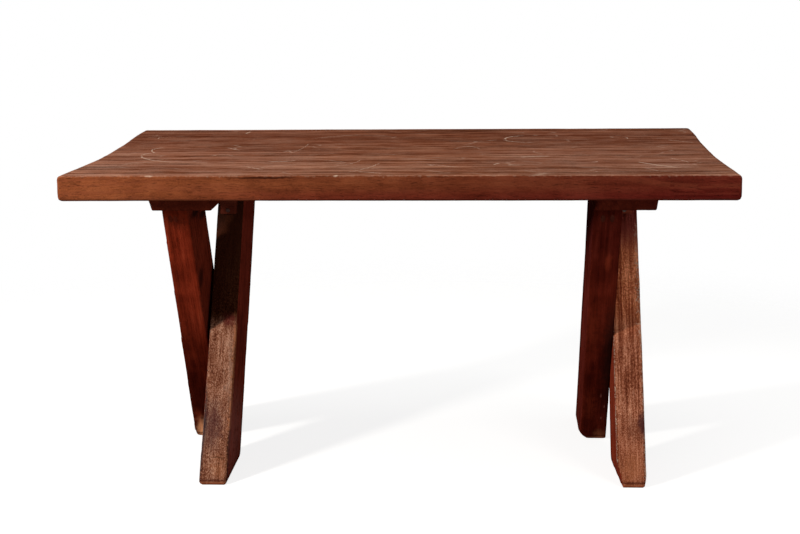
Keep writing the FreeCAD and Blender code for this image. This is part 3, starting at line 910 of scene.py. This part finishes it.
def makeTop():
    boxes = [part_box(f"top_board_{number}") for number in range(1, top["boards"] + 1)]
    front, back = boxes[0][0].y, boxes[-1][1].y
    bottom, crown = boxes[0][0].z, boxes[0][1].z
    half, arris = top["rightEnd"], top["arris"]
    slab = addBlock("slab", (-top["leftEnd"], front, bottom), (top["rightEnd"], back, crown))
    ruleCuts(slab, yAxis, top["cutSpacing"])
    for end, scoops in ((-1, top["leftScoop"]), (1, top["rightScoop"])):
        for deepest, reach, depth in scoops:  # the deepest place pulls its sides along
            pickEdges(slab, lambda a, b: bothAt(deepest, a.y, b.y) and min(end * a.x, end * b.x) > 0)
            bpy.ops.transform.translate(value=(-end * depth, 0, 0), use_proportional_edit=True,
                                        proportional_edit_falloff="SMOOTH", proportional_size=reach)
            calm()
    weightEdges(slab, lambda a, b: abs(a.z - b.z) > hair and min(abs(a.y), abs(b.y)) > back - hair,
                top["cornerShare"])
    weightEdges(slab, lambda a, b: abs(a.z - b.z) < hair and abs(a.x - b.x) < half, 1)
    weightEdges(slab, lambda a, b: abs(a.z - b.z) < hair and abs(a.x - b.x) > half and abs(a.y) > back - hair,
                top["arrisShare"])
    modify(slab, "BEVEL", limit_method="WEIGHT", width=top["endRadius"], segments=top["endSteps"])
    ruleCuts(slab, xAxis, top["cutSpacing"])
    for number, (low, high) in enumerate(boxes, start=1):
        board = copyPiece(slab, f"topBoard{number}")
        for place, normal in ((low, -yAxis), (high, yAxis)):
            if abs(place.y) < back - arris:
                saw(board, place, normal)
                roundEdges(board, lambda a, b: bothAt(place.y, a.y, b.y) and min(a.z, b.z) > crown - hair,
                           top["seam"], 1)
        refine(board, top["fineness"])
        weather(board, *top["waviness"], seed=number)  # each layer has a cloud of its own
        weather(board, *top["roughness"], seed=number + 7)
        weigh(board, "arris", lambda spot: top["chipReach"] - (
            back - abs(spot.y) + min(crown - spot.z, spot.z - bottom)) / arris)
        weather(board, *top["chips"], seed=number + 3, middle=top["chipLevel"], group="arris")
        settle(board, "top_wood", topWood, f"top_board_{number}")
    bpy.data.objects.remove(slab)
    print("top made")


# the crossed legs: a plank leaned over, its foot rounded at heel and toe and worn at the sides
leg = {
    "width": 0.176,
    "lean": math.radians(30),
    "heelRadius": {"front": 0.012, "back": 0.03},
    "toeRadius": 0.003,
    "roundSteps": 7,
    "toeReach": {"leg_left_back": 0.013, "leg_right_back": 0.006},  # how far a foot has spread
    "gridSize": 0.0036,  # of the mesh that takes the wear
    "arrisRub": (0.5, 2),  # strength and passes of the rubbing that rounds the arrises
    "footCuts": 4,  # that round each worn lower corner
    "soleRise": 0.012,  # the sole stays flat, the wood above it is uneven
    "footWear": {  # worn lower corners, left and right: how far in and how high
        "leg_left_front": ((0.007, 0.011), (0.003, 0.003)),
        "leg_left_back": ((0.008, 0.01), (0.006, 0.01)),
        "leg_right_front": ((0.003, 0.004), (0.003, 0.003)),
        "leg_right_back": ((0.004, 0.006), (0.006, 0.01)),
    },
    "slices": {  # corners worn away aslant: a point on the cut, and the way it faces
        "leg_right_front": (((0.441, 0.165, 0), (-1, -0.15, -0.5)), ((0.447, 0.12, 0), (-1, -0.4, -1.2))),
        "leg_right_back": (((0.508, -0.084, 0), (-1, -0.06, -0.18)),),
    },
    "waviness": (0.002, (0.09, 0.09, 0.35)),  # depth, and the size of its cloud
    "roughness": (0.001, (0.01, 0.01, 0.06)),
    "flare": {"leg_left_front": 0.015},  # how far the outer side spreads to the foot
    "hollow": {"leg_left_front": 0.009},  # how far the inner side stands off at the foot
    "sway": {"leg_left_back": 0.004},  # how far the top stands to the right
    "splay": {"leg_left_front": -0.003, "leg_right_back": 0.003},  # how far a foot's outer side has moved
}


def makeLeg(side, lean):
    name = f"leg_{side}_{lean}"
    low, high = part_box(name)
    way = leans[lean]
    outerTop = low.y if way > 0 else high.y
    innerTop = outerTop + way * leg["width"] / math.cos(leg["lean"])
    drop = way * high.z * math.tan(leg["lean"])
    toe, heel = innerTop + drop, outerTop + drop
    plank = addBlock(f"leg{side.title()}{lean.title()}", (low.x, min(outerTop, innerTop), low.z),
                     (high.x, max(outerTop, innerTop), high.z))
    slideEdges(plank, lambda a, b: max(a.z, b.z) < hair, (0, drop, 0))
    splay = leg["splay"].get(name, 0)
    outer = low.x if splay < 0 else high.x
    spread = way * leg["toeReach"].get(name, 0)
    for height, axis, place, shift in (  # where the edges lie, and how far they move
        (high.z, 0, low.x, (leg["flare"].get(name, 0), 0, 0)),
        (0, 0, high.x, (-leg["hollow"].get(name, 0), 0, 0)),
        (0, 0, outer, (splay, 0, 0)),
        (0, 1, toe, (0, spread, 0)),
    ):
        slideEdges(plank, lambda a, b: bothAt(height, a.z, b.z) and bothAt(place, a[axis], b[axis]), shift)
    slideEdges(plank, lambda a, b: bothAt(high.z, a.z, b.z), (leg["sway"].get(name, 0), 0, 0))
    for radius, corner, footEnd in (
        (leg["toeRadius"], math.pi / 2 - leg["lean"], toe + spread),
        (leg["heelRadius"][lean], math.pi / 2 + leg["lean"], heel),
    ):
        roundEdges(plank, lambda a, b: max(a.z, b.z) < hair and bothAt(footEnd, a.y, b.y),
                   radius, leg["roundSteps"], corner)
    for edge, face, (inset, rise) in zip((low.x, high.x), (-1, 1), leg["footWear"][name]):
        for step in range(1, leg["footCuts"] + 1):
            angle = step * math.pi / (2 * leg["footCuts"] + 2)
            saw(plank, (edge - face * inset * (1 - math.cos(angle)), heel, rise * (1 - math.sin(angle))),
                (face * rise * math.cos(angle), 0, -inset * math.sin(angle)))
    for place, normal in leg["slices"].get(name, ()):
        saw(plank, place, normal)
    modify(plank, "REMESH", mode="VOXEL", voxel_size=leg["gridSize"])
    weigh(plank, "aboveSole", lambda spot: (spot.z - low.z) / leg["soleRise"])
    turn = (way * leg["lean"], 0, 0)
    weather(plank, *leg["waviness"], turn, seed=low.x, group="aboveSole")
    strength, passes = leg["arrisRub"]
    modify(plank, "SMOOTH", factor=strength, iterations=passes)
    weather(plank, *leg["roughness"], turn, seed=low.x + 3, group="aboveSole")
    settle(plank, "leg_wood", makeLegWood(name, way, low, high), name)


# battens, bevelled underneath at the ends and bored for sunk screws
batten = {
    "lip": 0.008,
    "bevel": 0.03,
    "arris": 0.004,
    "arrisSteps": 3,
    "cutSpacing": 0.045,
    "fineness": 3,
    "roughness": (0.001, (0.02, 0.12, 0.02)),  # depth, and the size of its cloud
    "boreRadius": 0.0052,
    "boreDepth": 0.01,
    "boreCorners": 24,
    "screwRows": 5,
}


def screwPlaces(node):
    low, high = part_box(node)
    inset, rows = screw["headRadius"], batten["screwRows"]
    depths = [low.y + inset + (high.y - low.y - 2 * inset) * row / (rows - 1) for row in range(rows)]
    return [Vector((x, y, low.z)) for x in (low.x + inset, high.x - inset) for y in depths]


def makeBatten(side):
    low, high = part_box(f"batten_{side}")
    bar = addBlock(f"batten{side.title()}", low, high)
    for way, end in ((-1, low.y), (1, high.y)):
        rise = high.z - low.z - batten["lip"]
        saw(bar, (0, end, high.z - batten["lip"]), (0, way * rise, -batten["bevel"]))
    roundEdges(bar, lambda a, b: min(a.z, b.z) < high.z - hair, batten["arris"], batten["arrisSteps"])
    roughen(bar, batten, (yAxis, xAxis), low.x)
    radius, length, corners = batten["boreRadius"], 2 * batten["boreDepth"], batten["boreCorners"]
    bores = [addRod("bore", (spot.x, spot.y, low.z), radius, length, corners)
             for spot in screwPlaces(f"batten_screws_{side}")]
    carve(bar, joinPieces(bores, "bores"))
    settle(bar, "batten_wood", woods[f"{side}BattenWood"], f"batten_{side}")


# corner blocks in the angle between leg and batten
block = {
    "foot": 0.016,
    "arris": 0.0025,
    "arrisSteps": 3,
    "cutSpacing": 0.02,
    "fineness": 2,
    "roughness": (0.0012, (0.03, 0.03, 0.03)),  # depth, and the size of its cloud
}


def makeBlock(side, lean):
    name = f"corner_block_{side}_{lean}"
    low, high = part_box(name)
    piece = addBlock(f"cornerBlock{side.title()}{lean.title()}", low, high)
    way = leans[lean]
    legSide, face = (low.y, high.y) if way > 0 else (high.y, low.y)
    slideEdges(piece, lambda a, b: bothAt(low.z, a.z, b.z) and bothAt(legSide, a.y, b.y),
               (0, face - way * block["foot"] - legSide, 0))
    roundEdges(piece, lambda a, b: True, block["arris"], block["arrisSteps"])
    roughen(piece, block, (zAxis, xAxis), low.x)
    settle(piece, "block_wood", woods["blockWood"], name)


# round slotted screw heads, modelled once and copied
screw = {
    "headRadius": 0.005,
    "headHeight": 0.004,
    "headCorners": 32,
    "shankRadius": 0.0025,
    "shankLength": 0.012,
    "shankCorners": 20,
    "dome": 0.0018,
    "domeSteps": 4,
    "slotWidth": 0.0012,
    "slotDepth": 0.0012,
    "slotOver": (1.2, 1.5),  # of the head's radius and height, so that the slot runs out
    "sunkTurn": 0.7,  # from one slot to the next
    "proudTurn": 0.4,
}


def makeScrewHead():
    radius, height, over = screw["headRadius"], screw["headHeight"], screw["slotOver"]
    head = addRod("screwHead", (0, 0, height / 2), radius, height, screw["headCorners"])
    roundEdges(head, lambda a, b: min(a.z, b.z) > height - hair, screw["dome"], screw["domeSteps"])
    reach, width = radius * over[0], screw["slotWidth"] / 2
    floor, mouth = height - screw["slotDepth"], height * over[1]
    carve(head, addBlock("slot", (-reach, -width, floor), (reach, width, mouth)))
    length = screw["shankLength"]
    shank = addRod("shank", (0, 0, -length / 2), screw["shankRadius"], length, screw["shankCorners"])
    return joinPieces([head, shank], "screwHead")


def makeScrews(side, head):
    lift = Vector((0, 0, screw["headHeight"]))
    sunk = [copyPiece(head, "sunk", spot + lift, (math.pi, 0, number * screw["sunkTurn"]))
            for number, spot in enumerate(screwPlaces(f"batten_screws_{side}"))]
    low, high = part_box(f"block_screws_{side}")
    proud = []
    for lean, way in leans.items():
        blockLow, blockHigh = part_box(f"corner_block_{side}_{lean}")
        face = blockHigh.y if way > 0 else blockLow.y
        for height in (low.z + screw["headRadius"], high.z - screw["headRadius"]):
            spot = ((blockLow.x + blockHigh.x) / 2, face, height)
            turn = (-way * math.pi / 2, screw["proudTurn"] * len(proud), 0)
            proud.append(copyPiece(head, "proud", spot, turn))
    for kind, screws in (("batten", sunk), ("block", proud)):
        row = joinPieces(screws, f"{kind}Screws{side.title()}")
        settle(row, "screw_steel", screwSteel[side], f"{kind}_screws_{side}")


# plugs that close the screw pockets in the outer edges of the legs
plug = {
    "radius": 0.005,
    "corners": 28,
    "proud": 0.0006,
    "length": 0.05,
    "chamfer": 0.0008,
    "chamferSteps": 2,
}


def makePlugs(side):
    low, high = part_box(f"leg_plugs_{side}")
    radius, length = plug["radius"], plug["length"]
    plugs = []
    for lean, way in leans.items():
        legLow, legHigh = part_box(f"leg_{side}_{lean}")
        outerTop, edge, depth = (legLow.y, low.x, low.y) if way > 0 else (legHigh.y, high.x, high.y)
        inner = legLow.x + legHigh.x - edge
        outward = Vector((0, -way * math.cos(leg["lean"]), -math.sin(leg["lean"])))
        for across in (edge + way * radius, inner - way * radius):
            middle = (across, depth + way * radius, high.z - length / 2)
            peg = addRod("peg", middle, radius, length, plug["corners"])
            saw(peg, Vector((0, outerTop, legHigh.z)) + outward * plug["proud"], outward)
            roundEdges(peg, lambda a, b: max(a.z, b.z) < high.z - hair and abs(a.x - b.x) > 0,
                       plug["chamfer"], plug["chamferSteps"])
            plugs.append(peg)
    row = joinPieces(plugs, f"legPlugs{side.title()}")
    settle(row, "plug_wood", woods[f"{side}PlugWood"], f"leg_plugs_{side}")


makeTop()
screwHead = makeScrewHead()
for side in sides:
    makeBatten(side)
    for lean in leans:
        makeLeg(side, lean)
        makeBlock(side, lean)
    makeScrews(side, screwHead)
    makePlugs(side)
    print(side, "trestle made")
bpy.data.objects.remove(screwHead)

# what is held inside keeps its own solid
for name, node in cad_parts.items():
    if not node.hide_render:
        node.data.materials.clear()
        node.data.materials.append(screwSteel["right"] if "screws" in name else woods["innerWood"])

# camera at the photograph's angle
camera = {
    "place": (0.203, -3.765, 1.243),
    "lens": 69.03,
    "pitch": math.radians(11.53),
    "yaw": math.radians(-3.37),
    "roll": math.radians(-0.6),
}


def makeCamera():
    eye = bpy.data.objects.new("camera", bpy.data.cameras.new("camera"))
    bpy.context.scene.collection.objects.link(eye)
    eye.data.lens = camera["lens"]
    stand = Matrix.Translation(camera["place"])
    for angle, axis in ((-camera["yaw"], "Z"), (math.pi / 2 - camera["pitch"], "X"), (camera["roll"], "Z")):
        stand = stand @ Matrix.Rotation(angle, 4, axis)
    eye.matrix_world = stand
    bpy.context.scene.camera = eye


# lamps, with a floor that is white to the eye and keeps the shadow
studio = {
    "floorRadius": 2.6,
    "floorCorners": 96,
    "floorFade": 1.5,
    "floorGrey": (0.35, 0.35, 0.35),
    "floorLift": 0.83,
    "ambient": 0.2,
    "lamps": {  # place, aim, size, power, colour
        "key": ((-2.69, -2.33, 1.6), (0.0, 0.0, 0.4), (0.4, 0.4), 131, (1.0, 0.95, 0.88)),
        "overhead": ((0.0, 0.3, 3.2), (0.0, 0.0, 0.7), (2.4, 1.8), 26, (1.0, 0.98, 0.95)),
        "sideFill": ((1.2, -1.15, 0.72), (0.52, 0.0, 0.45), (0.4, 0.4), 6, (1.0, 0.93, 0.86)),
    },
}


def seenWhite(tree):  # 1 for rays that should meet a white ground
    path = addNode(tree, "ShaderNodeLightPath").outputs
    seen = calc("MAXIMUM", path["Is Camera Ray"], path["Is Glossy Ray"])
    return calc("MAXIMUM", seen, path["Is Transmission Ray"])


def makeFloor():
    calm()
    bpy.ops.mesh.primitive_circle_add(vertices=studio["floorCorners"], radius=studio["floorRadius"],
                                      fill_type="NGON")
    floor = nameIt(bpy.context.object, "floor")
    material, shader, place = newMaterial("paleFloor")
    fill(shader, {
        "Base Color": studio["floorGrey"],
        "Roughness": 1,
        "Specular IOR Level": 0,
        "Emission Color": (1, 1, 1),
        "Emission Strength": times(seenWhite(material.node_tree), studio["floorLift"]),
        "Alpha": fade(vectorCalc("LENGTH", place), studio["floorRadius"], studio["floorFade"]),
    })
    floor.data.materials.append(material)


def makeWorld():
    world = bpy.data.worlds.new("studio")
    bpy.context.scene.world = world
    world.use_nodes = True
    tree = world.node_tree
    gain = times(seenWhite(tree), 1 - studio["ambient"])
    fill(tree.nodes["Background"], {"Color": (1, 1, 1), "Strength": calc("ADD", gain, studio["ambient"])})


def makeLamps():
    for name, (place, aim, size, power, colour) in studio["lamps"].items():
        lamp = bpy.data.objects.new(name, bpy.data.lights.new(name, "AREA"))
        bpy.context.scene.collection.objects.link(lamp)
        lamp.data.shape = "RECTANGLE"
        lamp.data.size, lamp.data.size_y = size
        lamp.data.energy = power
        lamp.data.color = colour
        lamp.location = place
        lamp.rotation_euler = (Vector(aim) - Vector(place)).to_track_quat("-Z", "Y").to_euler()


makeCamera()
makeFloor()
makeWorld()
makeLamps()
bpy.context.scene.view_settings.view_transform = "Standard"
print("stage set")
